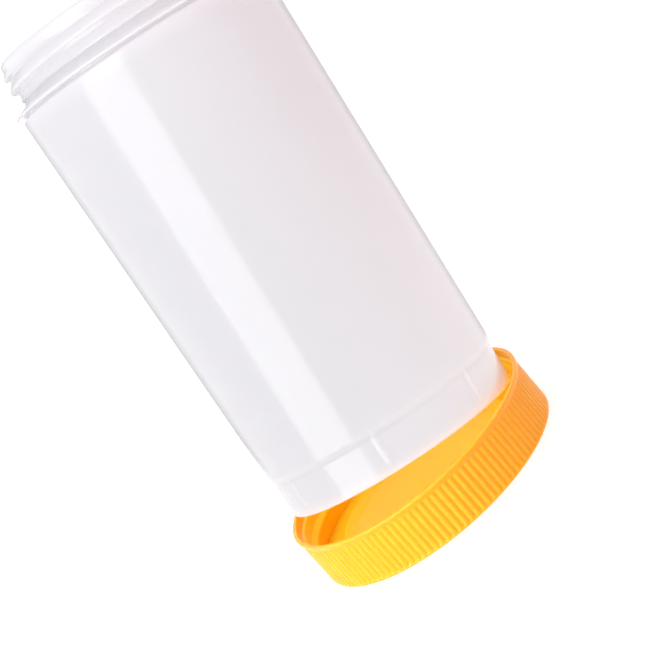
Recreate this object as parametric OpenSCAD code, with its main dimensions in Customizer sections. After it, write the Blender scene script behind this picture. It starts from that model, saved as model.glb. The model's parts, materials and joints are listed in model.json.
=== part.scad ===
// Wide-mouth screw-cap bottle with its base pushed, tilted, into the upturned screw cap.
// Frame: millimetres. Origin at the centre of the cap's closed outer face, which lies on
// the table. +Z is the cap's axis, up through its open end. The bottle leans towards +Y.

/* [Bottle] */
// Height of the bottle from its foot to its lip, along its own axis
bottle_h = 174.5; // [120:0.5:260]
// Diameter over the neck thread, which every fit of cap and foot follows
neck_d = 88.7; // [50:0.1:120]
// Height of the narrow foot band under the small step in the body
foot_h = 14.4; // [8:0.1:30]
// Height of the neck above the shoulder
neck_h = 19.1; // [15:0.1:30]
// Widening of the body on each side, in degrees
draft = 1.23; // [0.5:0.01:3]
// Step outward from foot band to body, on each side
step_out = 1.1; // [0.4:0.1:3]
// Height over which the step runs
step_h = 1.8; // [0.6:0.1:4]
// Wall thickness of the blown body
wall = 1.3; // [0.8:0.1:3]
// Thickness of the bottle's bottom
bottom_t = 1.8; // [1:0.1:4]
// How far the middle of the bottom is pushed up
push_up = 2.2; // [0.5:0.1:5]
// Radius of the rounding where body meets neck
shoulder_r = 1.6; // [0.5:0.1:3]
// Radius of the rounding at the foot's edge
heel_r = 0.8; // [0.3:0.1:1.5]
// Height of the groove between shoulder and collar bead
groove_h = 1.2; // [0.9:0.1:3]

/* [Foot ribs] */
// Number of short upright ribs around the foot band
foot_ribs = 7; // [4:1:24]
// Turn of the first rib from +X, in degrees
foot_rib_turn = -12; // [-30:0.5:30]
// Width of one foot rib
foot_rib_w = 1.8; // [0.6:0.1:3]
// How far a foot rib stands out
foot_rib_out = 0.3; // [0.2:0.05:0.7]
// Height of a rib's lower end above the foot
foot_rib_low = 3.4; // [1.5:0.1:5]

/* [Neck thread] */
// Rise of the thread in one turn
pitch = 5.08; // [3:0.01:8]
// Depth of the neck thread
thread_deep = 2.35; // [1.2:0.05:3]
// Turns of thread on the neck
neck_turns = 2.1; // [1:0.1:2.1]
// Reach of the collar bead beyond the top of the body
bead_out = 1.27; // [0.5:0.01:5]

/* [Cap] */
// Height of the cap
cap_h = 18.5; // [14:0.1:30]
// Thickness of the cap's closed end
cap_floor = 1.8; // [1:0.1:3]
// Thickness of the cap's skirt under its grip ribs
skirt_t = 1.35; // [0.8:0.05:3]
// Number of grip ribs around the skirt
grips = 120; // [60:4:160]
// Depth of the grooves between the grip ribs
grip_deep = 0.5; // [0.2:0.05:1]
// Height of the plain band under the grip ribs, at the closed end
band_h = 0.9; // [0.6:0.1:3]
// How far the rim stands proud of the grip ribs
rim_out = 0.45; // [0.1:0.05:1]
// Height of the plain rim at the open end
rim_h = 1.5; // [0.8:0.1:3]
// Radius of the rounding at the closed end
cap_edge = 0.5; // [0.3:0.1:1.6]
// Height of the widened mouth of the cap, above its thread
lead_h = 3.6; // [1:0.1:4]

/* [Sealing disc] */
// Thickness of the sealing wad, a moulded disc that lies in the cap
wad_t = 1.5; // [0.8:0.1:3]
// Space between the wad and the lower end of the cap's thread
wad_free = 1.2; // [0.4:0.1:3]
// Width of the slope on the inner side of the wad's raised ring
ring_slope = 4.3; // [2:0.1:10]
// Share of the bottle's push-up that the raised ring fills
ring_share = 0.64; // [0.2:0.02:0.8]

/* [Fit and pose] */
// Play between neck thread and cap wall, on each side
neck_play = 0.3; // [0.2:0.05:0.8]
// Play between the cap's thread and the root of the neck, on each side
thread_play = 0.95; // [0.4:0.05:1.5]
// Play between the cap's thread and the foot band, on each side
foot_play = 0.95; // [0.7:0.05:1.5]
// Gap left where one piece rests on another
seat_gap = 0.3; // [0.1:0.05:0.5]
// Play between the wad's raised ring and the bottle's pushed-up bottom, on each side
ring_play = 1.45; // [0.5:0.05:3]
// Lean of the bottle in the cap at rest, in degrees
lean = 13.88; // [0:0.01:16]
// Depth of the foot's low edge under the cap's rim at rest
hooked = 10.65; // [6:0.05:12]

/* [Hidden] */
e = 0.01;
neck_r = neck_d/2;
root_r = neck_r - thread_deep;
cap_in = neck_r + neck_play;
cap_rib_root = cap_in + skirt_t;
cap_out = cap_rib_root + grip_deep;
rim_r = cap_out + rim_out;
cap_crest = root_r + thread_play;
foot_r = cap_crest - foot_play;
body_r0 = foot_r + step_out;
shoulder_z = bottle_h - neck_h;
body_r1 = body_r0 + (shoulder_z - foot_h)*tan(draft);
groove_z = shoulder_z + groove_h;
groove_r = body_r1 - shoulder_r - 0.4;
bead_r = body_r1 + bead_out;
neck_z = groove_z + 4.4;
neck_in = root_r - wall - 0.2;
foot_wall = wall + 0.2;
rise_r = foot_r - 4.8;
crest_flat = 0.5;
flank = 3.2;
thread_z = bottle_h - 4.3;
cap_thread_z = cap_h - 5.0;
cap_top_z = cap_thread_z + 1.9;
lead_out = 0.4*(rim_r - cap_in);
wad_r = cap_in - 0.35;
wad_z = cap_floor + seat_gap;
ring_r = rise_r - ring_play;
ring_up = ring_share*push_up;
cap_turns = (cap_thread_z - 1.6 - wad_z - wad_t - wad_free)/pitch;
low_z = cap_h - hooked;
low_y = cap_crest - seat_gap/cos(lean) - (cap_top_z - low_z)*tan(lean);
base_y = low_y - foot_r*cos(lean);
base_z = low_z + foot_r*sin(lean);

// A thread ridge: the section is swept up a right-hand helix and sinks away at both ends.
// sec holds [reach, height] points, reach 0 at the wall and 1 at the crest.
module ridge(wall_r, crest_r, sink, sec, turns, z_end, a_end) {
    steps = ceil(turns*48);
    n = len(sec);
    fade = 5;
    function grow(i) = min(1, min(i, steps - i)/fade);
    function at(i, p) = let (
        a = a_end - (steps - i)*7.5,
        z = z_end - (steps - i)*7.5/360*pitch,
        r = p[0] < 0 ? wall_r + sink : wall_r + (crest_r - wall_r)*p[0]*grow(i)
                                       + sink*0.6*(1 - grow(i)))
        [r*cos(a), r*sin(a), z + p[1]];
    pts = [for (i = [0:steps]) for (p = sec) at(i, p)];
    sides = [for (i = [0:steps - 1]) for (j = [0:n - 1]) let (
        a = i*n + j, b = i*n + (j + 1)%n, c = a + n, d = b + n)
        each [[a, b, d], [a, d, c]]];
    ends = [for (j = [1:n - 2]) each [[0, j + 1, j],
        [steps*n, steps*n + j, steps*n + j + 1]]];
    inward = sink > 0;
    all = concat(sides, ends);
    polyhedron(points = pts, faces = inward ? [for (t = all) [t[2], t[1], t[0]]] : all);
}

// Points of an arc about [x, z], from angle a to angle b.
function arc(x, z, r, a, b, n = 4) =
    [for (i = [0:n]) let (t = a + (b - a)*i/n) [x + r*cos(t), z + r*sin(t)]];

// Outline of the bottle wall, foot to lip and back down inside.
module bottle_outline() {
    c = shoulder_r;
    lip_r = root_r + 0.7;
    polygon(concat(
        [[0, push_up], [rise_r, push_up], [rise_r + 1.4, 0]],
        arc(foot_r - heel_r, heel_r, heel_r, -90, 0),
        [for (t = [0:30:180])
            [foot_r + step_out*(1 - cos(t))/2, foot_h + step_h*(t/180 - 0.5)]],
        arc(body_r1 - c, shoulder_z - c, c, 0, 90, 5),
        arc(groove_r + 0.3, shoulder_z + 0.3, 0.3, 270, 180, 3),
        arc(groove_r + 0.3, groove_z - 0.3, 0.3, 180, 90, 3),
        arc(bead_r - 0.3, groove_z + 0.3, 0.3, -90, 60, 3), arc(root_r + 2.6, neck_z, 2.6, 225, 180),
        [[root_r, bottle_h - 3.9]], arc(lip_r - 1, bottle_h - 1, 1, 0, 90),
        arc(neck_in + 0.4, bottle_h - 0.4, 0.4, 90, 180, 3),
        [[neck_in, groove_z], [neck_in + 0.3, shoulder_z]],
        arc(body_r1 - wall - 4, shoulder_z - 5.4, 4, 60, 0),
        [[body_r0 - wall, foot_h + step_h], [foot_r - foot_wall, foot_h - step_h/2]],
        arc(foot_r - foot_wall - 1.2, bottom_t + 1.4, 1.2, 0, -90),
        [[rise_r + 0.2, push_up + bottom_t], [0, push_up + bottom_t]]));
}

module foot_rib() {
    translate([foot_r - 0.3, 0, foot_rib_low]) linear_extrude(foot_h - foot_rib_low)
        polygon([for (t = [-90:22.5:90]) [(foot_rib_out + 0.3)*cos(t), foot_rib_w/2*sin(t)]]);
}

module bottle() {
    color([0.93, 0.92, 0.93, 0.6])
    translate([0, base_y, base_z]) rotate([-lean, 0, 0]) {
        rotate_extrude($fn = 96) bottle_outline();
        for (i = [0:foot_ribs - 1]) rotate([0, 0, foot_rib_turn + i*360/foot_ribs]) foot_rib();
        ridge(root_r, neck_r, -0.5,
              [[-1, -0.1], [1, 0], [1, crest_flat], [-1, crest_flat + flank]],
              neck_turns, thread_z + 0.35, 242);
    }
}

module grip_outline() {
    s = 360/grips;
    polygon([for (i = [0:grips - 1], p = [[-0.32, cap_rib_root], [-0.14, cap_out],
                                          [0.14, cap_out], [0.32, cap_rib_root]])
        [p[1]*cos((i + p[0])*s), p[1]*sin((i + p[0])*s)]]);
}

// Solid of revolution that rounds the edge of the closed end.
module rounded_end() {
    full = cap_out + 0.05;
    rotate_extrude($fn = 96) polygon(concat(
        [[0, 0]], arc(full - cap_edge, cap_edge, cap_edge, -90, 0),
        [[full, cap_h - rim_h/2], [0, cap_h - rim_h/2]]));
}

module rim() {
    low = cap_h - rim_h;
    rotate_extrude($fn = 96) polygon(concat(
        [[cap_in - 1, low - 1.4], [cap_rib_root - 0.4, low - 1.4]],
        arc(rim_r - 0.3, low + 0.35, 0.3, -60, 0, 3), arc(rim_r - 0.35, cap_h - 0.35, 0.35, 0, 90),
        [[cap_in - 1, cap_h]]));
}

module cap_hollow() {
    rotate_extrude($fn = 96) polygon(concat(
        [[0, cap_floor], [cap_in, cap_floor], [cap_in, cap_h - lead_h],
         [cap_in + lead_out, cap_h - lead_h + 0.5]],
        arc(cap_in + lead_out + 0.3, cap_h - 0.3, 0.3, 180, 90, 3),
        [[cap_in + lead_out + 0.3, cap_h + 0.1], [0, cap_h + 0.1]]));
}

module cap() {
    color([0.98, 0.74, 0.1]) {
        difference() {
            union() {
                intersection() {
                    union() {
                        linear_extrude(cap_h - rim_h/2) grip_outline();
                        cylinder(h = band_h, r = cap_out + 0.02, $fn = 96);
                    }
                    rounded_end();
                }
                rim();
            }
            cap_hollow();
        }
        ridge(cap_in, cap_crest, 0.5,
              [[-1, -1.6], [1, -0.2], [1, 0.7], [-1, 2.2]],
              cap_turns, cap_thread_z, 150);
    }
}

// A disc with a raised ring, which goes under the bottle's pushed-up bottom.
module sealing_wad() {
    k = 0.4*ring_up;
    color([1.0, 0.72, 0.2])
    translate([0, 0, wad_z]) rotate_extrude($fn = 96) polygon(concat(
        [[0, 0]], arc(wad_r - 0.2, 0.2, 0.2, -90, 0, 3), arc(wad_r - 0.2, wad_t - 0.2, 0.2, 0, 90, 3),
        [[ring_r + 0.4, wad_t]], arc(ring_r - k, wad_t + ring_up - k, k, 0, 90),
        [for (t = [30:30:180])
            [ring_r - k - ring_slope*t/180, wad_t + ring_up*(1 + cos(t))/2]],
        [[0, wad_t]]));
}

cap();
sealing_wad();
bottle();
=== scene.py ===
"""Looks of a wide-mouth bottle whose foot stands, tilted, in its upturned screw cap.

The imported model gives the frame: metres, the cap's closed end on the floor, +Z up through the
cap. Sizes of the mouldings are in millimetres, as on a maker's drawing.
"""

import json
import logging
import math
from collections.abc import Callable, Sequence
from dataclasses import dataclass, field
from enum import Enum

import bpy
from mathutils import Matrix, Vector


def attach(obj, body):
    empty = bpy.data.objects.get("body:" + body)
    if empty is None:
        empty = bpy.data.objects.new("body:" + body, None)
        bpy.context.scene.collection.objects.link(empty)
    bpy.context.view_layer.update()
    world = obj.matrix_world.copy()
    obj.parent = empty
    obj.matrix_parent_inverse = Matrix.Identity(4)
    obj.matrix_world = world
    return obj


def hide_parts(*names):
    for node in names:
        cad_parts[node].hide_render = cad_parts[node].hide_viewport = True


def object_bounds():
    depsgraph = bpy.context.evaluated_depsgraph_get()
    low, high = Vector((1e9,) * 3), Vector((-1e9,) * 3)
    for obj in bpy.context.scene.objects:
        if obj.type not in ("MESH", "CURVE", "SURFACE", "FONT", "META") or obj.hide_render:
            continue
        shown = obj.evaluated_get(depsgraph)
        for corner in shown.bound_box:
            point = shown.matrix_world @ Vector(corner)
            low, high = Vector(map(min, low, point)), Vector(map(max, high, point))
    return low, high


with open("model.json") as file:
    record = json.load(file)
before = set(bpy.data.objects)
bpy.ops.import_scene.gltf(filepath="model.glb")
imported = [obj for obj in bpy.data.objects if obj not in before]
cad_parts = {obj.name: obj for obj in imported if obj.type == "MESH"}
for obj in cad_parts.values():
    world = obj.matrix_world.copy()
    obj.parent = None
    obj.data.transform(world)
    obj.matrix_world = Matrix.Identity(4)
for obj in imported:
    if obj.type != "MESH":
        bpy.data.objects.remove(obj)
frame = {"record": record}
CAD_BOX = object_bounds()

MM = 0.001
PITCH = 5.08  # rise in a turn of both threads, in millimetres
ARC_STEP = 14  # widest step of a rounded corner, in degrees
ARC_SHARE = 0.49  # most of a stretch that a rounded corner may take
PLASTIC_IOR = 1.5
SENSOR = 36.0  # width of the camera's sensor, in millimetres
SCUFF_SLANTS = (0.55, -0.8)
SCUFF_SCALE = (45.0, 2600.0, 60.0)
WALL_RADIUS = 0.045  # where the scuffs' arc length is true, in metres
log = logging.getLogger("bottle_in_cap")

Colour = tuple[float, float, float]
Node = bpy.types.Node
Object = bpy.types.Object
Socket = bpy.types.NodeSocket
Tree = bpy.types.NodeTree


class Side(Enum):
    """Which wall of a moulding a station of its outline belongs to."""

    PLAIN = 0
    OUTSIDE = 1
    INSIDE = 2


@dataclass(frozen=True)
class Corner:
    """A corner of a turned outline.

    Attributes:
        r: Radius from the axis.
        z: Height along the axis.
        bend: Radius of the rounding at this corner.
        side: Wall that the stretch from this corner to the next belongs to.
        pace: Longest step between stations on that stretch, 0 for none between.
    """

    r: float
    z: float
    bend: float = 0.0
    side: Side = Side.PLAIN
    pace: float = 0.0


@dataclass(frozen=True)
class Station:
    """One ring of a turned mesh.

    Attributes:
        r: Its radius.
        z: Its height.
        side: Wall that it belongs to.
    """

    r: float
    z: float
    side: Side


Relief = Callable[[Station, float], float]


def mount(name: str) -> dict:
    """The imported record's entry for a mount."""
    return next(m for m in frame["record"]["mounts"] if m["name"] == name)


def added(name: str, data: bpy.types.ID) -> Object:
    """Adds an object to the scene.

    Args:
        name: Its name.
        data: Its mesh, lamp or camera.

    Returns:
        The object.
    """
    thing = bpy.data.objects.new(name, data)
    bpy.context.scene.collection.objects.link(thing)
    return thing


def smooth(edge0: float, edge1: float, x: float) -> float:
    """Smooth step from 0 at edge0 to 1 at edge1."""
    t = min(1.0, max(0.0, (x - edge0) / (edge1 - edge0)))
    return t * t * (3 - 2 * t)


def facing(place: Vector, target: Vector, along: Vector) -> tuple[Vector, Vector, Vector]:
    """Finds the axes of a panel that faces a point.

    Args:
        place: The panel's middle.
        target: The point.
        along: Direction that the panel's length follows.

    Returns:
        Its width's, its length's and its back's direction.
    """
    back = (place - target).normalized()
    length = (along - back * along.dot(back)).normalized()
    return length.cross(back), length, back


def rounded(corners: Sequence[Corner], i: int) -> list[Vector]:
    """Rounds one corner of an outline.

    Args:
        corners: The outline.
        i: Index of the corner.

    Returns:
        The points of its arc, or the corner alone where it has no rounding.
    """
    c = corners[i]
    p = Vector((c.r, c.z))
    if c.bend <= 0 or i in (0, len(corners) - 1):
        return [p]
    a = Vector((corners[i - 1].r, corners[i - 1].z)) - p
    b = Vector((corners[i + 1].r, corners[i + 1].z)) - p
    turn = math.pi - a.angle(b)
    reach = min(c.bend * math.tan(turn / 2), a.length * ARC_SHARE, b.length * ARC_SHARE)
    bend = reach / math.tan(turn / 2)
    a.normalize()
    b.normalize()
    middle = p + (a + b).normalized() * (bend / math.cos(turn / 2))
    first = p + a * reach - middle
    sense = math.copysign(1.0, (-a).cross(b))
    count = max(3, math.ceil(math.degrees(turn) / ARC_STEP))
    return [middle + Matrix.Rotation(sense * turn * k / count, 2) @ first for k in range(count + 1)]


def stations(corners: Sequence[Corner]) -> list[Station]:
    """Rounds an outline's corners and divides its stretches.

    Args:
        corners: The outline from the axis, round the wall and back to the axis.

    Returns:
        The rings of the mesh, in order.
    """
    arcs = [rounded(corners, i) for i in range(len(corners))]
    rings: list[Station] = []
    for i, (points, c) in enumerate(zip(arcs, corners, strict=True)):
        before = corners[i - 1].side if i else c.side
        for k, p in enumerate(points):
            late = k == len(points) - 1 or k * 2 >= len(points)
            rings.append(Station(p.x, p.y, c.side if late else before))
        if c.pace > 0 and i + 1 < len(arcs):
            p, q = points[-1], arcs[i + 1][0]
            steps = math.ceil((q - p).length / c.pace)
            for k in range(1, steps):
                m = p.lerp(q, k / steps)
                rings.append(Station(m.x, m.y, c.side))
    return rings


def turned_mesh(
    name: str, corners: Sequence[Corner], angles: Sequence[float], relief: Relief
) -> bpy.types.Mesh:
    """Turns an outline about +Z into one closed, smooth mesh.

    Args:
        name: Name of the mesh.
        corners: Outline in millimetres, from the axis and back to it.
        angles: Angles of the mesh's columns, in radians, rising, under one turn.
        relief: Gives the radius at a station and an angle, in millimetres.

    Returns:
        The mesh, in metres.
    """
    start, *rings, end = stations(corners)
    columns = len(angles)
    ways = [(math.cos(angle), math.sin(angle)) for angle in angles]
    verts: list[tuple[float, float, float]] = [(0.0, 0.0, start.z * MM)]
    for s in rings:
        for angle, (x, y) in zip(angles, ways, strict=True):
            r = relief(s, angle) * MM
            verts.append((r * x, r * y, s.z * MM))
    verts.append((0.0, 0.0, end.z * MM))
    last = len(verts) - 1
    last_ring = last - columns
    faces: list[tuple[int, ...]] = []
    for j in range(columns):
        k = (j + 1) % columns
        faces.append((0, 1 + k, 1 + j))
        faces.append((last, last_ring + j, last_ring + k))
        for here in range(1, last_ring, columns):
            up = here + columns
            faces.append((here + j, here + k, up + k, up + j))
    mesh = bpy.data.meshes.new(name)
    mesh.from_pydata(verts, [], faces)
    mesh.validate()
    mesh.polygons.foreach_set("use_smooth", [True] * len(mesh.polygons))
    mesh.update()
    return mesh


class Wiring:
    """A short way to add nodes to a node tree and join them."""

    def __init__(self, tree: Tree) -> None:
        """Takes the tree to work in."""
        self.tree = tree

    def add(self, kind: str, *values: Socket | float, **settings: object) -> Node:
        """Adds a node.

        Args:
            kind: Blender's node type.
            values: What its first inputs get, in their order.
            settings: Properties of the node.

        Returns:
            The node.
        """
        node = self.tree.nodes.new(kind)
        for key, value in settings.items():
            setattr(node, key, value)
        for value, into in zip(values, node.inputs, strict=False):
            self.feed(value, into)
        return node

    def join(self, out: Socket, into: Socket) -> None:
        """Links two sockets."""
        self.tree.links.new(out, into)

    def feed(self, value: Socket | Colour | float, into: Socket) -> None:
        """Links a socket to an input, or sets the input to a constant.

        Args:
            value: The socket, colour or number.
            into: The input.
        """
        if isinstance(value, Socket):
            self.join(value, into)
        else:
            into.default_value = (*value, 1.0) if isinstance(value, tuple) else value

    def noise(
        self, where: Socket, scale: float, detail: float = 3.0, rough: float = 0.5
    ) -> Socket:
        """Adds a noise texture.

        Args:
            where: Coordinates.
            scale: Waves in a metre.
            detail: Octaves of finer waves.
            rough: Strength of each octave in the one before.

        Returns:
            The noise, from 0 to 1.
        """
        node = self.add("ShaderNodeTexNoise", where)
        node.inputs["Scale"].default_value = scale
        node.inputs["Detail"].default_value = detail
        node.inputs["Roughness"].default_value = rough
        return node.outputs["Fac"]

    def stretched(
        self, where: Socket, scale: tuple[float, float, float], slant: float = 0.0
    ) -> Socket:
        """Turns coordinates about the Z axis and scales them by axis.

        Args:
            where: Coordinates.
            scale: Factor for each axis.
            slant: Angle of the turn, in radians.

        Returns:
            The new coordinates.
        """
        node = self.add("ShaderNodeMapping", where)
        node.inputs["Rotation"].default_value = (0.0, 0.0, slant)
        node.inputs["Scale"].default_value = scale
        return node.outputs["Vector"]

    def split(self, where: Socket) -> Sequence[Socket]:
        """Splits coordinates into X, Y and Z."""
        return self.add("ShaderNodeSeparateXYZ", where).outputs

    def wrapped(self, where: Socket, radius: float) -> Socket:
        """Turns coordinates into arc length, height and distance about the Z axis.

        Args:
            where: Object coordinates.
            radius: Radius at which the arc length is true, in metres.

        Returns:
            The wrapped coordinates.
        """
        x, y, z = self.split(where)
        arc = self.calc("MULTIPLY", self.calc("ARCTAN2", y, x), radius)
        square = self.calc("ADD", self.calc("MULTIPLY", x, x), self.calc("MULTIPLY", y, y))
        distance = self.calc("SQRT", square, 0.0)
        return self.add("ShaderNodeCombineXYZ", arc, z, distance).outputs[0]

    def ranged(
        self, value: Socket, low: float, high: float, to_low: float = 0.0, to_high: float = 1.0
    ) -> Socket:
        """Maps a value from one range to another, clamped.

        Args:
            value: The value.
            low: Where its range starts.
            high: Where its range ends.
            to_low: What the start becomes.
            to_high: What the end becomes.

        Returns:
            The mapped value.
        """
        node = self.add("ShaderNodeMapRange", value, low, high, to_low, to_high)
        return node.outputs["Result"]

    def calc(self, kind: str, a: Socket | float, b: Socket | float) -> Socket:
        """Works out a sum, a product or another operation on two values."""
        return self.add("ShaderNodeMath", a, b, operation=kind).outputs[0]

    def tint(self, mask: Socket, a: Socket | Colour, b: Socket | Colour) -> Socket:
        """Mixes from one colour to another.

        Args:
            mask: How far it goes from the first colour to the second.
            a: The first colour.
            b: The second colour.

        Returns:
            The mixed colour.
        """
        node = self.add("ShaderNodeMix", mask, data_type="RGBA")
        for key, value in (("A", a), ("B", b)):
            self.feed(value, next(s for s in node.inputs if (s.name, s.type) == (key, "RGBA")))
        return next(s for s in node.outputs if s.type == "RGBA")


def new_group(
    name: str, ins: dict[str, float | None], outs: Sequence[str]
) -> tuple[Wiring, Node, Node]:
    """Starts a shader node group.

    Args:
        name: Name of the group.
        ins: Name of each input and its default, None for coordinates.
        outs: Names of the outputs, all of them values.

    Returns:
        The group's wiring, its input node and its output node.
    """
    tree = bpy.data.node_groups.new(name, "ShaderNodeTree")
    for label, default in ins.items():
        kind = "NodeSocketVector" if default is None else "NodeSocketFloat"
        socket = tree.interface.new_socket(label, in_out="INPUT", socket_type=kind)
        if default is not None:
            socket.default_value = default
    for label in outs:
        tree.interface.new_socket(label, in_out="OUTPUT", socket_type="NodeSocketFloat")
    w = Wiring(tree)
    return w, w.add("NodeGroupInput"), w.add("NodeGroupOutput")


def moulded_skin_group() -> Tree:
    """Makes the skin of a plastic moulding: a fine matt grain over slow waves of the wall.

    Returns:
        The node group.
    """
    ins = {"Place": None, "Grain": 1.0, "Wave": 1.0}
    w, i, o = new_group("moulded_skin", ins, ["Height", "Haze"])
    place = i.outputs["Place"]
    grain = w.noise(place, scale=2600.0, detail=2.0)
    wave = w.noise(w.stretched(place, (1.0, 1.0, 0.35)), scale=42.0, detail=2.0, rough=0.4)
    fine = w.calc("MULTIPLY", w.calc("MULTIPLY", grain, 0.12), i.outputs["Grain"])
    slow = w.calc("MULTIPLY", wave, i.outputs["Wave"])
    w.join(w.calc("ADD", fine, slow), o.inputs["Height"])
    w.join(w.noise(place, scale=18.0, detail=4.0, rough=0.6), o.inputs["Haze"])
    return w.tree


def handling_group() -> Tree:
    """Makes marks of wear: hairline scuffs on the turned wall, in two slants, and faint specks.

    Returns:
        The node group.
    """
    w, i, o = new_group("handling_marks", {"Place": None, "Amount": 0.5}, ["Scuffs", "Specks"])
    place = i.outputs["Place"]
    wall = w.wrapped(place, WALL_RADIUS)
    lines = []
    for slant in SCUFF_SLANTS:
        line = w.noise(w.stretched(wall, SCUFF_SCALE, slant), scale=1.0, detail=1.0)
        lines.append(w.ranged(line, low=0.71, high=0.76))
    where = w.ranged(w.noise(place, scale=40.0, detail=2.0), low=0.5, high=0.66)
    both = w.calc("MULTIPLY", w.calc("MAXIMUM", *lines), where)
    w.join(w.calc("MULTIPLY", both, i.outputs["Amount"]), o.inputs["Scuffs"])
    speck = w.ranged(w.noise(place, scale=900.0, detail=1.0), low=0.76, high=0.82)
    w.join(w.calc("MULTIPLY", speck, i.outputs["Amount"]), o.inputs["Specks"])
    return w.tree


@dataclass
class Effects:
    """The node groups that the finishes share, each made once.

    Attributes:
        skin: Grain and waves of a moulding.
        marks: Scuffs and specks.
    """

    skin: Tree = field(default_factory=moulded_skin_group)
    marks: Tree = field(default_factory=handling_group)

    def place(self, w: Wiring, tree: Tree, **values: Socket | float) -> Node:
        """Places a group in a material.

        Args:
            w: The material's wiring.
            tree: The group.
            values: Its inputs, as numbers or sockets.

        Returns:
            The group's node.
        """
        node = w.add("ShaderNodeGroup")
        node.node_tree = tree
        for key, value in values.items():
            w.feed(value, node.inputs[key])
        return node


@dataclass(frozen=True)
class Plastic:
    """A moulded plastic that light passes into.

    Attributes:
        name: Name of the material.
        body: Colour of the plastic.
        cloud: Colour where the wall is a little thicker.
        rough: Lowest and highest roughness.
        depth: How far light spreads inside, by colour, in millimetres.
        spread: Share of the light that spreads inside.
        gloss: Level of the mirror reflection, 0.5 for a plain plastic.
        grain: Strength of the fine grain.
        wave: Strength of the slow waves.
        scuff: Amount of handling marks.
        bump: Distance of the bump, in millimetres.
        sheen: Paleness where the surface is seen at a slant.
        painted_light: Painted light, or None: colour painted nearer to the axis or farther from it.
        painted_light_from: Distances from the axis over which the painted light sets in, in
            millimetres.
        sheen_rough: Roughness of that paleness.
        sheen_tint: Its colour.
        speck_dark: Brightness of a speck, as a share of the plastic's.
        speck_share: Strength of the specks.
        scuff_rough: Roughness that a scuff adds.
        scuff_deep: Depth of a scuff, as a share of the bump.
    """

    name: str
    body: Colour
    cloud: Colour
    rough: tuple[float, float]
    depth: tuple[float, float, float]
    spread: float
    gloss: float
    grain: float
    wave: float
    scuff: float
    bump: float
    sheen: float = 0.0
    painted_light: Colour | None = None
    painted_light_from: tuple[float, float] = (0.0, 1.0)
    sheen_rough: float = 0.35
    sheen_tint: Colour = (1.0, 0.85, 0.65)
    speck_dark: float = 0.82
    speck_share: float = 0.35
    scuff_rough: float = 0.18
    scuff_deep: float = 0.4

    def upright(self, w: Wiring, pose: Matrix) -> Socket:
        """Adds coordinates that stand upright in the moulding, in metres.

        Args:
            w: The material's wiring.
            pose: Where the moulding's axis stands in the frame.

        Returns:
            The coordinates.
        """
        where = w.add("ShaderNodeTexCoord").outputs["Object"]
        node = w.add("ShaderNodeMapping", where, vector_type="TEXTURE")
        node.inputs["Location"].default_value = pose.to_translation()
        node.inputs["Rotation"].default_value = pose.to_euler()
        return node.outputs["Vector"]

    def colour(self, w: Wiring, place: Socket, haze: Socket, specks: Socket) -> Socket:
        """Adds the colour: clouds in the wall, the zone near the axis or far from it, and specks.

        Args:
            w: The material's wiring.
            place: Upright coordinates.
            haze: Slow variation of the wall.
            specks: Mask of the specks.

        Returns:
            The colour.
        """
        colour = w.tint(w.ranged(haze, low=0.3, high=0.7), self.body, self.cloud)
        # Painted light: a colour painted by distance from the axis, for light or a reflection that
        # falls there.
        if self.painted_light is not None:
            first, last = (distance * MM for distance in self.painted_light_from)
            mask = w.ranged(w.split(w.wrapped(place, 1.0))[2], first, last)
            colour = w.tint(mask, colour, self.painted_light)
        speck = tuple(self.speck_dark * c for c in self.cloud)
        return w.tint(w.calc("MULTIPLY", specks, self.speck_share), colour, speck)

    def material(self, effects: Effects, pose: Matrix) -> bpy.types.Material:
        """Makes the material from the shared effects and this plastic's own values.

        Args:
            effects: The shared effects.
            pose: Where the moulding's axis stands in the frame.

        Returns:
            The material.
        """
        mat = bpy.data.materials.new(self.name)
        mat.use_nodes = True
        w = Wiring(mat.node_tree)
        shader = mat.node_tree.nodes["Principled BSDF"]
        place = self.upright(w, pose)
        skin = effects.place(w, effects.skin, Place=place, Grain=self.grain, Wave=self.wave)
        marks = effects.place(w, effects.marks, Place=place, Amount=self.scuff)
        haze, scuffs = skin.outputs["Haze"], marks.outputs["Scuffs"]
        w.join(self.colour(w, place, haze, marks.outputs["Specks"]), shader.inputs["Base Color"])
        plain = w.ranged(haze, 0.25, 0.75, *self.rough)
        rough = w.calc("ADD", plain, w.calc("MULTIPLY", scuffs, self.scuff_rough))
        w.join(rough, shader.inputs["Roughness"])
        dents = w.calc("MULTIPLY", scuffs, self.scuff_deep)
        bump = w.add("ShaderNodeBump")
        bump.inputs["Strength"].default_value = 1.0
        bump.inputs["Distance"].default_value = self.bump * MM
        w.join(w.calc("SUBTRACT", skin.outputs["Height"], dents), bump.inputs["Height"])
        w.join(bump.outputs["Normal"], shader.inputs["Normal"])
        shader.inputs["IOR"].default_value = PLASTIC_IOR
        shader.inputs["Specular IOR Level"].default_value = self.gloss
        shader.inputs["Subsurface Weight"].default_value = self.spread
        shader.inputs["Subsurface Radius"].default_value = self.depth
        shader.inputs["Subsurface Scale"].default_value = MM
        shader.inputs["Sheen Weight"].default_value = self.sheen
        shader.inputs["Sheen Roughness"].default_value = self.sheen_rough
        shader.inputs["Sheen Tint"].default_value = (*self.sheen_tint, 1.0)
        return mat


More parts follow.
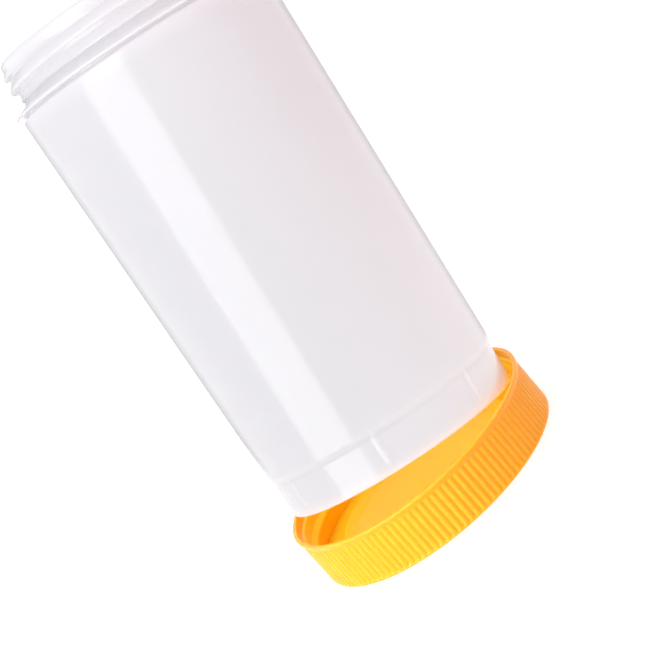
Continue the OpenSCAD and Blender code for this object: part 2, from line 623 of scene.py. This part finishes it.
MILKY_BOTTLE = Plastic(
    name="milky_bottle_plastic",
    body=(0.89, 0.88, 0.893),
    cloud=(0.875, 0.863, 0.877),
    rough=(0.13, 0.16),
    depth=(4.0, 3.8, 3.9),
    spread=1.0,
    gloss=0.4,
    grain=1.0,
    wave=1.0,
    scuff=0.35,
    bump=0.012,
)
YELLOW_CAP = Plastic(
    name="yellow_cap_plastic",
    body=(0.80, 0.33, 0.010),
    cloud=(0.79, 0.323, 0.009),
    rough=(0.30, 0.38),
    depth=(1.8, 1.0, 0.3),
    spread=0.6,
    gloss=0.24,
    grain=0.6,
    wave=0.3,
    scuff=0.2,
    bump=0.012,
    sheen=0.3,
    # Painted light: the cap's inside is painted a lighter yellow than its skirt, for light that the
    # thin wall lets in.
    painted_light=(0.98, 0.66, 0.012),
    painted_light_from=(45.9, 45.2),
)
YELLOW_WAD = Plastic(
    name="yellow_wad_plastic",
    # Painted reflection: the disc is painted pale in the middle, for the bottle's white foot that
    # shines in it.
    body=(0.99, 0.75, 0.15),
    cloud=(0.985, 0.735, 0.142),
    rough=(0.30, 0.40),
    depth=(6.0, 3.4, 0.6),
    spread=1.0,
    gloss=0.45,
    grain=1.6,
    wave=0.5,
    scuff=0.3,
    bump=0.02,
    # Painted reflection: deeper orange towards the cap's wall, where the wall shines in the disc.
    painted_light=(0.98, 0.62, 0.02),
    painted_light_from=(29.0, 36.0),
)


@dataclass(frozen=True)
class ScrewThread:
    """A right-hand thread of saw-tooth section.

    Attributes:
        pitch: Rise in a turn.
        turns: Number of turns.
        top: Height of the flat face's edge at the upper end.
        end: Angle at the upper end, in degrees.
        flat: Height of the crest.
        flank: Height of the sloping face, which is above the crest.
        fade: Angle over which each end sinks away, in degrees.
        lean: Height over which the flat face rises to the crest.
    """

    pitch: float
    turns: float
    top: float
    end: float
    flat: float
    flank: float
    fade: float = 38.0
    lean: float = 0.22

    def height(self, z: float, angle: float) -> float:
        """How much of the thread's depth stands at a point of the wall.

        Args:
            z: Height of the point.
            angle: Its angle, in radians.

        Returns:
            0 at the root, 1 on the crest.
        """
        back = (self.end - math.degrees(angle)) % 360.0
        best = 0.0
        while back <= self.turns * 360.0:
            crest = self.top - back / 360.0 * self.pitch
            past = z - crest
            face = smooth(-self.lean, 0.0, past)
            slope = 1.0 - min(1.0, max(0.0, (past - self.flat) / self.flank))
            sink = smooth(0.0, self.fade, min(back, self.turns * 360.0 - back))
            best = max(best, face * slope * sink)
            back += 360.0
        return best


class Moulding:
    """A turned moulding: outline, columns and relief, made into one piece.

    Attributes:
        name: Name of the piece.
        node: CAD node that it stands for.
        body: Body that it rides on.
        slot: Name of a material slot; not used.
    """

    name: str
    node: str
    body: str
    slot: str

    def outline(self) -> list[Corner]:
        """The outline from the axis, round the wall and back to the axis."""
        raise NotImplementedError

    def angles(self) -> list[float]:
        """The angles of the mesh's columns, in radians."""
        raise NotImplementedError

    def relief(self, s: Station, angle: float) -> float:
        """The wall's radius at a station and an angle."""
        return s.r

    def pose(self) -> Matrix:
        """Where the moulding stands in the frame."""
        return Matrix.Identity(4)

    def build(self, finish: Plastic, effects: Effects) -> Object:
        """Makes the piece, dresses it and joins it to the frame.

        Args:
            finish: Its finish.
            effects: The shared effects.

        Returns:
            The piece.
        """
        mesh = turned_mesh(self.name, self.outline(), self.angles(), self.relief)
        piece = added(self.name, mesh)
        mesh.transform(self.pose())
        mesh.materials.append(finish.material(effects, self.pose()))
        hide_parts(self.node)
        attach(piece, self.body)
        log.info("%s: %d faces on body %s", self.name, len(mesh.polygons), self.body)
        return piece


@dataclass
class Bottle(Moulding):
    """The blown bottle: foot band, body, collar bead, threaded neck and lip.

    Attributes:
        height: Height of the bottle.
        mouth_down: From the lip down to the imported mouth's middle.
        root: Radius of the neck at the thread's root.
        thread_deep: Depth of the neck's thread.
        thread_down: From the lip down to the thread's upper end.
        foot: Radius of the foot band.
        foot_high: Height of the foot band.
        step: How far the body stands out over the foot band.
        step_half: Half the height of the slope between them.
        draft: Slant of the body's wall, in degrees.
        neck_high: Height of the neck.
        groove: Height of the groove under the collar bead.
        groove_in: Depth of that groove, less the shoulder's rounding.
        shoulder: Radius of the shoulder's rounding.
        bead: Radius of the collar bead.
        bead_high: Height of the bead's edge.
        bead_slope: Height of the slope above the edge.
        lip_out: How far the lip stands out over the root.
        lip_high: Height of the lip.
        wall: Thickness of the wall.
        neck_extra: How much thicker the neck and the foot are.
        bottom: Thickness of the bottom.
        push_up: Height of the pushed-up bottom.
        ribs: Number of foot ribs.
        rib_turn: Angle of the first rib, in degrees.
        rib_wide: Width of a rib.
        rib_out: How far a rib stands out.
        rib_low: Height of a rib's lower end.
        seam_turn: Angle of the first mould seam, in degrees.
        seam_out: How far a seam stands out.
        seam_wide: Width of the strip of closer columns at a seam.
        columns: Number of even columns.
        pace: Longest step of the mesh along the threaded neck.
    """

    name: str = "bottle_moulding"
    node: str = "bottle"
    body: str = "bottle"
    slot: str = "bottle_plastic"
    height: float = 174.5
    mouth_down: float = 9.5
    root: float = 42.0
    thread_deep: float = 2.35
    thread_down: float = 3.95
    foot: float = 42.0
    foot_high: float = 14.4
    step: float = 1.1
    step_half: float = 1.1
    draft: float = 1.23
    neck_high: float = 19.1
    groove: float = 1.2
    groove_in: float = 0.4
    shoulder: float = 1.6
    bead: float = 47.4
    bead_high: float = 0.6
    bead_slope: float = 2.0
    lip_out: float = 0.75
    lip_high: float = 1.4
    wall: float = 1.3
    neck_extra: float = 0.2
    bottom: float = 1.8
    push_up: float = 2.2
    ribs: int = 7
    rib_turn: float = -12.0
    rib_wide: float = 2.6
    rib_out: float = 0.45
    rib_low: float = 3.4
    seam_turn: float = 35.0
    seam_out: float = 0.09
    seam_wide: float = 0.6
    columns: int = 288
    pace: float = 0.16

    def __post_init__(self) -> None:
        """Works out the body's radii, the shoulder's height and the thread."""
        self.shoulder_z = self.height - self.neck_high
        self.body_low = self.foot + self.step
        rise = self.shoulder_z - self.foot_high
        self.body_top = self.body_low + rise * math.tan(math.radians(self.draft))
        self.groove_z = self.shoulder_z + self.groove
        self.neck_in = self.root - self.wall - self.neck_extra
        top = self.height - self.thread_down
        self.thread = ScrewThread(PITCH, turns=2.1, top=top, end=242.0, flat=0.5, flank=3.0)

    def pose(self) -> Matrix:
        """Finds the bottle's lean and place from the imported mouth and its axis.

        Returns:
            Where the bottle stands in the frame.
        """
        mouth = mount("bottle_mouth")
        axis = Vector(mouth["axis"])
        foot = Vector(mouth["pos_m"]) - axis * (self.height - self.mouth_down) * MM
        turn = Vector((0, 0, 1)).rotation_difference(axis).to_matrix().to_4x4()
        return Matrix.Translation(foot) @ turn

    def outline(self) -> list[Corner]:
        """Draws the wall, from the middle of the bottom, up outside and down inside.

        Returns:
            The outline.
        """
        return [*self.foot_outline(), *self.neck_outline(), *self.inside_outline()]

    def foot_outline(self) -> list[Corner]:
        """Draws the pushed-up bottom, the foot band and the body.

        Returns:
            That part of the outline, from the axis to the shoulder.
        """
        foot, out = self.foot, Side.OUTSIDE
        return [
            Corner(0, self.push_up),
            Corner(foot - 4.8, self.push_up, 1.5),
            Corner(foot - 3.4, 0.0, 0.8),
            Corner(foot, 0.0, 0.9, out, 0.8),
            Corner(foot, self.foot_high - self.step_half, 2.2, out),
            Corner(self.body_low, self.foot_high + self.step_half, 2.2, out, 5.0),
            Corner(self.body_top, self.shoulder_z, self.shoulder),
        ]

    def neck_outline(self) -> list[Corner]:
        """Draws the groove, the collar bead, the threaded wall and the lip.

        Returns:
            That part of the outline, from the shoulder to the lip's top.
        """
        root, bead, top, out = self.root, self.bead, self.height, Side.OUTSIDE
        groove = self.body_top - self.shoulder - self.groove_in
        return [
            Corner(groove, self.shoulder_z, 0.5),
            Corner(groove, self.groove_z, 0.5),
            Corner(bead, self.groove_z, 0.3),
            Corner(bead, self.groove_z + self.bead_high, 0.25),
            Corner(root + 0.9, self.groove_z + self.bead_high + self.bead_slope, 2.0),
            Corner(root, self.groove_z + 4.4, 1.0, out, self.pace),
            Corner(root, top - 3.9, 0.6, out, self.pace),
            Corner(root + self.lip_out, top - self.lip_high, 1.2, out),
            Corner(root + 0.6, top, 0.8, Side.PLAIN),
        ]

    def inside_outline(self) -> list[Corner]:
        """Draws the bottle's inside.

        Returns:
            That part of the outline, from the lip down to the axis.
        """
        inside, floor = Side.INSIDE, self.bottom + 0.2
        foot_in = self.foot - self.wall - self.neck_extra
        return [
            Corner(self.neck_in, self.height, 0.4, inside, 4.0),
            Corner(self.neck_in, self.shoulder_z + 0.6, 3.0, inside),
            Corner(self.body_top - self.wall, self.shoulder_z - 5.0, 4.0, inside, 6.0),
            Corner(self.body_low - self.wall, self.foot_high + 1.0, 2.0, inside),
            Corner(foot_in, self.foot_high - 1.5, 2.0, inside, 3.0),
            Corner(foot_in, floor, 1.2),
            Corner(self.foot - 2.9, floor, 0.5),
            Corner(self.foot - 4.6, self.bottom + self.push_up, 1.5),
            Corner(0, self.bottom + self.push_up),
        ]

    def rib_angles(self) -> list[float]:
        """Angles of the foot ribs, in radians, under one turn."""
        first = math.radians(self.rib_turn)
        return [(first + math.tau * i / self.ribs) % math.tau for i in range(self.ribs)]

    def seam_angles(self) -> list[float]:
        """Angles of the two mould seams, in radians, under one turn."""
        first = math.radians(self.seam_turn)
        return [first % math.tau, (first + math.pi) % math.tau]

    def angles(self) -> list[float]:
        """Sets even columns, with closer ones at the foot ribs and the mould seams.

        Returns:
            The columns' angles, in radians.
        """
        even = {math.tau * i / self.columns for i in range(self.columns)}
        lines = [(a, self.rib_wide) for a in self.rib_angles()]
        lines += [(a, self.seam_wide) for a in self.seam_angles()]
        shares = (-0.7, -0.5, -0.35, -0.18, 0, 0.18, 0.35, 0.5, 0.7)
        for middle, wide in lines:
            near = wide / self.foot
            even = {e for e in even if abs(e - middle) > near}
            even |= {(middle + near * share) % math.tau for share in shares}
        return sorted(even)

    def relief(self, s: Station, angle: float) -> float:
        """Adds the foot ribs, the mould seams and the neck thread to the outer wall.

        Args:
            s: The station.
            angle: The angle, in radians.

        Returns:
            The wall's radius there.
        """
        if s.side is not Side.OUTSIDE:
            return s.r
        seam = min(abs(angle - a) for a in self.seam_angles()) * self.foot
        r = s.r + self.seam_out * (1.0 - smooth(0.05, 0.3, seam))
        if s.z < self.foot_high:
            off = min(abs(angle - a) for a in self.rib_angles()) * self.foot
            across = 1.0 - smooth(0.0, self.rib_wide * 0.5, off)
            along = smooth(self.rib_low - 0.4, self.rib_low + 0.6, s.z)
            return r + self.rib_out * across * along
        if s.z > self.groove_z + 3.0:
            ridge = self.thread.height(s.z, angle) * self.thread_deep
            return max(r, self.root + ridge)
        return r


@dataclass
class ScrewCap(Moulding):
    """The ribbed screw cap: closed end on the floor, open end up.

    Attributes:
        high: Height of the cap.
        inner: Radius of the inner wall.
        skirt: Thickness of the skirt at the root of the grip ribs.
        grip_deep: Height of a grip rib over its root.
        grips: Number of grip ribs.
        groove_low: Heights between which the grooves open above the closed end.
        rim_out: How far the rim stands out over the ribs.
        rim_high: Height of the rim.
        edge: Rounding of the closed end.
        lead_high: Depth of the wider mouth above the thread.
        floor: Thickness of the closed end.
        crest: Radius of the thread's crest.
        thread_down: From the rim down to the thread's upper end.
    """

    name: str = "cap_moulding"
    node: str = "cap"
    body: str = "cap"
    slot: str = "cap_plastic"
    high: float = 18.5
    inner: float = 44.65
    skirt: float = 1.35
    grip_deep: float = 0.5
    grips: int = 120
    groove_low: tuple[float, float] = (0.6, 1.4)
    rim_out: float = 0.45
    rim_high: float = 1.5
    edge: float = 0.5
    lead_high: float = 3.6
    floor: float = 1.8
    crest: float = 42.95
    thread_down: float = 5.0

    def __post_init__(self) -> None:
        """Works out the skirt's radii and the inner thread."""
        self.rib_root = self.inner + self.skirt
        self.rib_top = self.rib_root + self.grip_deep
        self.rim = self.rib_top + self.rim_out
        self.mouth = self.inner + 0.4 * (self.rim - self.inner)
        top = self.high - self.thread_down
        self.thread = ScrewThread(PITCH, turns=1.4, top=top, end=150.0, flat=0.8, flank=1.5)

    def outline(self) -> list[Corner]:
        """Draws the cap, from the middle of the closed end, up the skirt and down inside.

        Returns:
            The outline.
        """
        out, inside = Side.OUTSIDE, Side.INSIDE
        under, ledge = self.high - self.rim_high, self.high - self.lead_high
        return [
            Corner(0, 0),
            Corner(self.rib_root, 0, self.edge, out, 0.3),
            Corner(self.rib_root, 2.0, 0.0, out, 1.5),
            Corner(self.rib_root, under - 1.2, 1.5, out, 0.2),
            Corner(self.rim, under + 0.4, 1.2, Side.PLAIN),
            Corner(self.rim, self.high, 0.4),
            Corner(self.mouth, self.high, 0.3),
            Corner(self.mouth, ledge + 0.5, 0.3),
            Corner(self.inner, ledge, 0.2, inside, 0.2),
            Corner(self.inner, self.floor, 0.7),
            Corner(0, self.floor),
        ]

    def angles(self) -> list[float]:
        """Sets six columns to each grip rib: two in the groove, one on each flank, two on top.

        Returns:
            The columns' angles, in radians.
        """
        step = math.tau / self.grips
        shares = (0.0, 0.18, 0.30, 0.5, 0.70, 0.82)
        return [(i + share) * step for i in range(self.grips) for share in shares]

    def relief(self, s: Station, angle: float) -> float:
        """Adds the grip ribs outside and the thread inside.

        Args:
            s: The station.
            angle: The angle, in radians.

        Returns:
            The wall's radius there.
        """
        if s.side is Side.INSIDE:
            ridge = self.thread.height(s.z, angle)
            return self.inner - (self.inner - self.crest) * ridge
        if s.side is Side.OUTSIDE and s.r > self.rib_root - self.edge - 0.1:
            across = (angle / math.tau * self.grips) % 1.0
            off = min(across, 1.0 - across)
            rib = max(1.0 - smooth(0.16, 0.44, off), 1.0 - smooth(*self.groove_low, s.z))
            return s.r + min(self.grip_deep, max(0.0, self.rib_top - s.r)) * rib
        return s.r


@dataclass
class SealingWad(Moulding):
    """The disc that lies in the cap and seals on the bottle's lip.

    Attributes:
        radius: Radius of the disc.
        thick: Thickness of the disc.
        low: Height of its underside.
        mark: Depth of the lip's faint press mark.
        ring: Outer radius of its raised ring.
        ring_up: Height of the ring.
        ring_slope: Width of the ring's inner slope.
        columns: Number of even columns.
    """

    name: str = "sealing_wad_disc"
    node: str = "sealing_wad"
    body: str = "wad"
    slot: str = "wad_plastic"
    radius: float = 44.3
    thick: float = 1.5
    low: float = 2.1
    mark: float = 0.08
    ring: float = 35.75
    ring_up: float = 1.408
    ring_slope: float = 4.3
    columns: int = 144

    def outline(self) -> list[Corner]:
        """Draws the disc, with its raised ring and the lip's press mark.

        Returns:
            The outline.
        """
        radius, ring, top = self.radius, self.ring, self.low + self.thick
        pressed, crown = top - self.mark, 0.4 * self.ring_up
        return [
            Corner(0, self.low),
            Corner(radius, self.low, 0.2),
            Corner(radius, top, 0.3),
            Corner(radius - 1.5, top, 0.3),
            Corner(radius - 1.9, pressed, 0.3),
            Corner(radius - 3.6, pressed, 0.3),
            Corner(radius - 4.0, top, 0.3),
            Corner(ring, top, 0.4),
            Corner(ring, top + self.ring_up, crown),
            Corner(ring - crown - 0.4, top + self.ring_up, 1.0),
            Corner(ring - crown - self.ring_slope + 0.6, top, 1.6),
            Corner(0, top),
        ]

    def angles(self) -> list[float]:
        """Even columns."""
        return [math.tau * i / self.columns for i in range(self.columns)]


class SeenBy(Enum):
    """The kind of ray that sees a card."""

    GLOSSY = "glossy"
    DIFFUSE = "diffuse"


@dataclass(frozen=True)
class Panel:
    """A flat lamp or card beside the bottle.

    Attributes:
        name: Its name.
        azimuth: Degrees to the left of the camera, about the bottle's axis.
        away: Distance from the axis, in metres.
        up: Height along the axis from the model's middle, in metres.
        size: Its width and its length, in metres.
        glow: Its brightness.
        colour: Colour of its light.
    """

    name: str
    azimuth: float
    away: float
    up: float
    size: tuple[float, float]
    glow: float
    colour: Colour = (1.0, 1.0, 1.0)


STRIP = Panel("strip_softbox", 44.5, 0.62, -0.02, (0.38, 0.75), 2.8)
BROAD = Panel("broad_light", 18.0, 0.9, -0.35, (1.0, 0.9), 0.55)
CAP_KEY = Panel("cap_key", 47.0, 0.5, 0.0, (0.4, 0.3), 7.5)
FLAGS = (
    Panel("left_flag", 149.0, 0.21, 0.0, (0.10, 0.5), 0.6),
    Panel("right_flag", -149.0, 0.21, 0.0, (0.10, 0.5), 0.6),
    Panel("low_flag", -136.4, 0.104, -0.065, (0.048, 0.05), 0.6),
)
SHADES = (
    Panel("warm_shade", -66.0, 0.26, 0.01, (0.28, 0.40), 1.0, (1.05, 0.82, 0.82)),
    Panel("upper_shade", -74.0, 0.15, 0.09, (0.14, 0.13), 1.0, (0.50, 0.26, 0.29)),
)


@dataclass
class Studio:
    """Pale floor, soft lamps and the camera at the photograph's view.

    Attributes:
        eye: The camera's place, in millimetres.
        heading: Azimuth of the view, in degrees from +Y towards -X.
        pitch: How far the view looks down, in degrees.
        roll: Turn of the camera about its view, in degrees.
        focal: Focal length in pixels of the photograph.
        frame_high: Height of the photograph, in pixels.
        strip_slant: Turn of the strip softbox about its beam, in degrees.
        above: Place of the lamps that shine through the bottle, in metres.
        above_size: Their width and length, in metres.
        through_cap: Brightness of the one that lights the cap.
        through_wad: Brightness of the one that lights the disc.
        floor_half: Half the side of the floor, in metres.
        floor_down: How far the floor lies under the cap, in metres.
        floor_grey: Reflectance of the floor.
        floor_rough: Roughness of the floor.
        floor_gloss: Level of its mirror reflection.
        table_glow: Brightness that the floor gives of itself.
        sky: Colour of the surround.
        ambient: Brightness of the surround at the horizon.
        zenith: Its brightness overhead.
        bounces: Diffuse bounces of the light, enough for pale plastic.
    """

    eye: tuple[float, float, float] = (408.6, -543.2, 251.2)
    heading: float = 36.487
    pitch: float = 15.227
    roll: float = -41.21
    focal: float = 2180.0
    frame_high: float = 658.0
    strip_slant: float = 30.0
    above: tuple[float, float, float] = (0.0, -0.25, 0.9)
    above_size: tuple[float, float] = (1.0, 1.0)
    through_cap: float = 1.3
    through_wad: float = 2.0
    floor_half: float = 12.0
    floor_down: float = 0.0002
    floor_grey: float = 0.55
    floor_rough: float = 0.9
    floor_gloss: float = 0.1
    table_glow: float = 0.66
    sky: Colour = (0.99, 0.97, 1.02)
    ambient: float = 1.0
    zenith: float = 0.78
    bounces: int = 16

    def __post_init__(self) -> None:
        """Makes the camera and works out the directions that the panels stand in."""
        cam = self.camera()
        low, high = Vector(CAD_BOX[0]), Vector(CAD_BOX[1])
        self.middle = (low + high) / 2
        self.base = Vector((0.0, 0.0, low.z))
        self.axis = Vector(mount("bottle_mouth")["axis"])
        toward = cam.matrix_world.translation - self.middle
        self.toward = (toward - self.axis * toward.dot(self.axis)).normalized()
        self.left = -self.axis.cross(self.toward)

    def camera(self) -> Object:
        """Makes the camera and gives it to the scene.

        Returns:
            The camera.
        """
        data = bpy.data.cameras.new("camera")
        data.sensor_width = SENSOR
        data.lens = self.focal / self.frame_high * data.sensor_width
        data.clip_end = 50.0
        cam = added("camera", data)
        turn = (
            Matrix.Rotation(math.radians(self.heading), 4, "Z")
            @ Matrix.Rotation(math.radians(90.0 - self.pitch), 4, "X")
            @ Matrix.Rotation(math.radians(self.roll), 4, "Z")
        )
        cam.matrix_world = Matrix.Translation(Vector(self.eye) * MM) @ turn
        bpy.context.scene.camera = cam
        return cam

    def place(self, panel: Panel) -> Vector:
        """Finds where a panel stands.

        Args:
            panel: The panel.

        Returns:
            Its middle.
        """
        turn = math.radians(panel.azimuth)
        aside = (self.toward * math.cos(turn) + self.left * math.sin(turn)) * panel.away
        return self.middle + aside + self.axis * panel.up

    def lamp(self, panel: Panel, place: Vector, target: Vector, along: Vector) -> Object:
        """Makes a rectangular softbox.

        Args:
            panel: Its name, size, brightness and colour.
            place: Its middle.
            target: The point it faces.
            along: Direction that its length follows.

        Returns:
            The lamp.
        """
        data = bpy.data.lights.new(panel.name, "AREA")
        data.shape = "RECTANGLE"
        data.size, data.size_y = panel.size
        data.energy = panel.glow * 4.0 * panel.size[0] * panel.size[1]
        data.color = panel.colour
        box = added(panel.name, data)
        x, y, z = facing(place, target, along)
        box.matrix_world = Matrix.Translation(place) @ Matrix((x, y, z)).transposed().to_4x4()
        return box

    def card(self, panel: Panel, target: Vector, seen_by: SeenBy) -> Object:
        """Makes a glowing card that only one kind of ray sees.

        Args:
            panel: The card's name, place, size and light.
            target: The point it faces.
            seen_by: The kind of ray.

        Returns:
            The card.
        """
        place = self.place(panel)
        x, y, _ = facing(place, target, self.axis)
        wide, long = x * panel.size[0] / 2, y * panel.size[1] / 2
        corners = [-wide - long, wide - long, wide + long, long - wide]
        glow = tuple(panel.glow * c for c in panel.colour)
        card = self.sheet(panel.name, corners, 0.0, 0.5, 0.0, glow, 1.0)
        card.location = place
        for ray in ("camera", "diffuse", "glossy", "transmission", "volume_scatter", "shadow"):
            setattr(card, f"visible_{ray}", ray == seen_by.value)
        return card

    def sheet(
        self,
        name: str,
        corners: Sequence[Vector],
        grey: float,
        rough: float,
        gloss: float,
        glow: Colour,
        strength: float,
    ) -> Object:
        """Makes a flat sheet of the studio, with a material of its own.

        Args:
            name: Name of the sheet.
            corners: Its four corners.
            grey: Its reflectance.
            rough: Its roughness.
            gloss: Level of its mirror reflection.
            glow: Colour of the light that it gives.
            strength: Brightness of that light.

        Returns:
            The sheet.
        """
        mesh = bpy.data.meshes.new(name)
        mesh.from_pydata([tuple(c) for c in corners], [], [(0, 1, 2, 3)])
        mat = bpy.data.materials.new(name)
        mat.use_nodes = True
        shader = mat.node_tree.nodes["Principled BSDF"]
        shader.inputs["Base Color"].default_value = (grey, grey, grey, 1)
        shader.inputs["Roughness"].default_value = rough
        shader.inputs["Specular IOR Level"].default_value = gloss
        shader.inputs["Emission Color"].default_value = (*glow, 1)
        shader.inputs["Emission Strength"].default_value = strength
        mesh.materials.append(mat)
        sheet = added(name, mesh)
        return sheet

    def light_only(self, lamp: Object, piece: Object, shading: Sequence[Object]) -> None:
        """Lets a lamp light one piece only.

        Args:
            lamp: The lamp.
            piece: The piece.
            shading: Pieces that shade it, or none for the whole scene.
        """
        reached = bpy.data.collections.new(f"{lamp.name}_lights")
        reached.objects.link(piece)
        lamp.light_linking.receiver_collection = reached
        if shading:
            blocking = bpy.data.collections.new(f"{lamp.name}_shaded_by")
            for part in shading:
                blocking.objects.link(part)
            lamp.light_linking.blocker_collection = blocking

    def light_bottle(self) -> None:
        """Builds the strip softbox, which makes the long highlight, and the broad light."""
        lit = self.place(STRIP)
        slant = Matrix.Rotation(math.radians(self.strip_slant), 3, self.middle - lit) @ self.axis
        self.lamp(STRIP, lit, self.middle, slant).visible_diffuse = False
        self.lamp(BROAD, self.place(BROAD), self.middle, self.axis).visible_glossy = False

    def light_cap(self, cap: Object, wad: Object) -> None:
        """Builds the cap's own lamp, and those that shine through the milky bottle into it.

        Args:
            cap: The cap.
            wad: The disc in the cap.
        """
        key = self.lamp(CAP_KEY, self.place(CAP_KEY), self.base, self.axis)
        self.light_only(key, cap, [])
        for part, glow in ((cap, self.through_cap), (wad, self.through_wad)):
            name = f"light_through_to_{part.name}"
            panel = Panel(name, 0.0, 0.0, 0.0, self.above_size, glow)
            lit = self.lamp(panel, Vector(self.above), self.base, self.left)
            lit.visible_glossy = False
            self.light_only(lit, part, [cap, wad])

    def build(self, cap: Object, wad: Object) -> None:
        """Builds the lamps, the cards, the floor and the surround.

        Args:
            cap: The cap, which has lamps of its own.
            wad: The disc in the cap, which has one too.
        """
        self.light_bottle()
        self.light_cap(cap, wad)
        for flag in FLAGS:
            self.card(flag, self.middle + self.axis * flag.up, SeenBy.GLOSSY)
        for shade in SHADES:
            self.card(shade, self.middle + self.axis * shade.up, SeenBy.DIFFUSE)
        side, grey = self.floor_half, self.floor_grey
        corners = [Vector((x * side, y * side, 0)) for x, y in ((-1, -1), (1, -1), (1, 1), (-1, 1))]
        white = (1.0, 1.0, 1.0)
        floor = self.sheet(
            "floor", corners, grey, self.floor_rough, self.floor_gloss, white, self.table_glow
        )
        floor.location.z = -self.floor_down
        self.surround()

    def surround(self) -> None:
        """Builds the surround, darker overhead, and sets how the light is traced."""
        scene = bpy.context.scene
        world = bpy.data.worlds.new("surround")
        world.use_nodes = True
        sky = world.node_tree.nodes["Background"]
        sky.inputs["Color"].default_value = (*self.sky, 1)
        w = Wiring(world.node_tree)
        up = w.split(w.add("ShaderNodeTexCoord").outputs["Generated"])[2]
        glow = w.ranged(up, 0.0, 1.0, self.ambient, self.zenith)
        w.join(glow, sky.inputs["Strength"])
        scene.world = world
        scene.view_settings.view_transform = "Standard"
        scene.cycles.max_bounces = 2 * self.bounces
        scene.cycles.diffuse_bounces = self.bounces


def main() -> None:
    """Builds the studio and the three pieces."""
    logging.basicConfig(level=logging.INFO, format="%(message)s")
    effects = Effects()
    cap = ScrewCap().build(YELLOW_CAP, effects)
    wad = SealingWad().build(YELLOW_WAD, effects)
    Bottle().build(MILKY_BOTTLE, effects)
    Studio().build(cap, wad)


if __name__ == "__main__":
    main()
